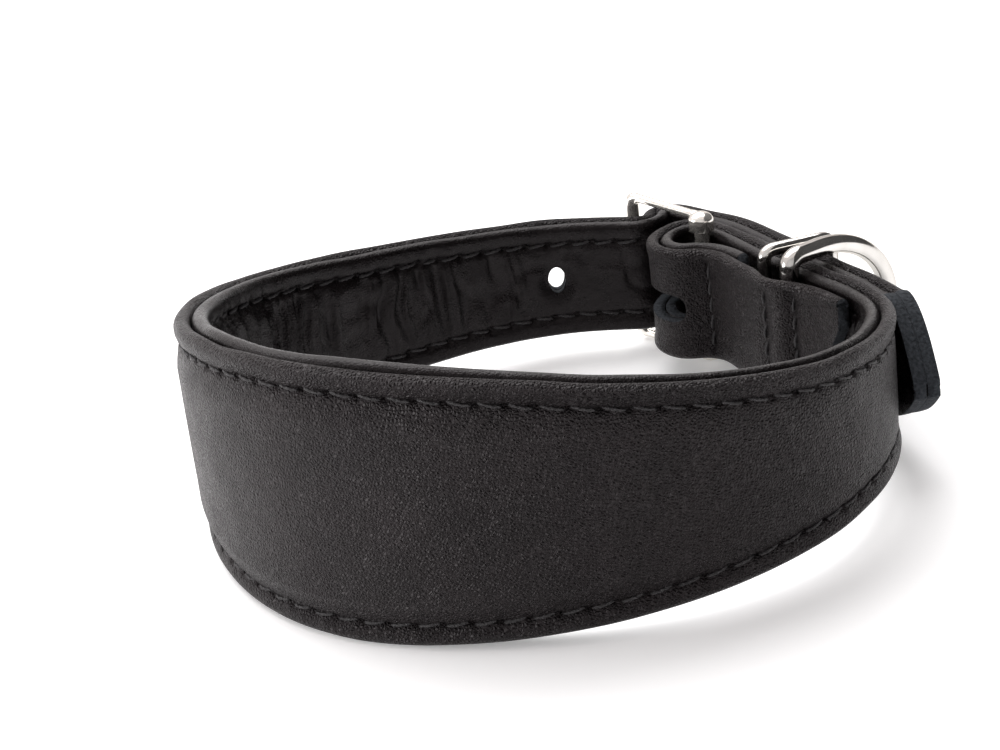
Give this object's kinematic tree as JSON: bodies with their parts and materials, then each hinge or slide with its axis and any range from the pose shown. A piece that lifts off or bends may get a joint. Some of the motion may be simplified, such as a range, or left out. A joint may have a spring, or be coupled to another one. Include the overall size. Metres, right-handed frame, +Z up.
{
  "type": "padded dog collar",
  "caption": "Wide-fronted padded leather dog collar, buckled into a loop, with a pronged frame buckle, a metal keeper and a D-shaped lead ring.",
  "frame": {"origin": "centre of the bounding box in plan, on the surface that the standing collar rests on", "axes": "+X to the side where the buckle and the ring are, -Y out of the wide front panel, +Z up across the strap"},
  "size_m": [0.1467, 0.1353, 0.0545],
  "materials": {
    "grain_leather": "satin black, fine grain",
    "lining_leather": "satin black, soft lining",
    "foam": "matt felt",
    "thread": "matt black thread",
    "nickel": "polished nickel plate"
  },
  "bodies": {
    "strap": {"outer_leather": "grain_leather", "lining_leather": "lining_leather", "front_padding": "foam", "outer_upper_thread": "thread", "outer_lower_thread": "thread", "lining_upper_thread": "thread", "lining_lower_thread": "thread", "buckle_seam": "thread", "keeper_seam": "thread", "ring_seam": "thread"},
    "buckle": {"buckle_frame": "nickel"},
    "tongue": {"prong": "nickel"},
    "keeper": {"metal_keeper": "nickel"},
    "ring": {"lead_ring": "nickel"}
  },
  "joints": [
    {"name": "buckle_swing", "type": "hinge", "parent": "strap", "child": "buckle", "pos_m": [0.03524, 0.04363, 0.01844], "axis": [0, 0, 1], "range_deg": [-1, 3]},
    {"name": "prong_swing", "type": "hinge", "parent": "buckle", "child": "tongue", "pos_m": [0.03524, 0.04363, 0.01844], "axis": [0, 0, 1], "range_deg": [-1, 0]},
    {"name": "keeper_swing", "type": "hinge", "parent": "strap", "child": "keeper", "pos_m": [0.04514, 0.02033, 0.01973], "axis": [0, 0, 1], "range_deg": [-1.5, 12]},
    {"name": "ring_swing", "type": "hinge", "parent": "strap", "child": "ring", "pos_m": [0.04894, 0.01143, 0.02022], "axis": [0, 0, 1], "range_deg": [-26, 1]}
  ]
}
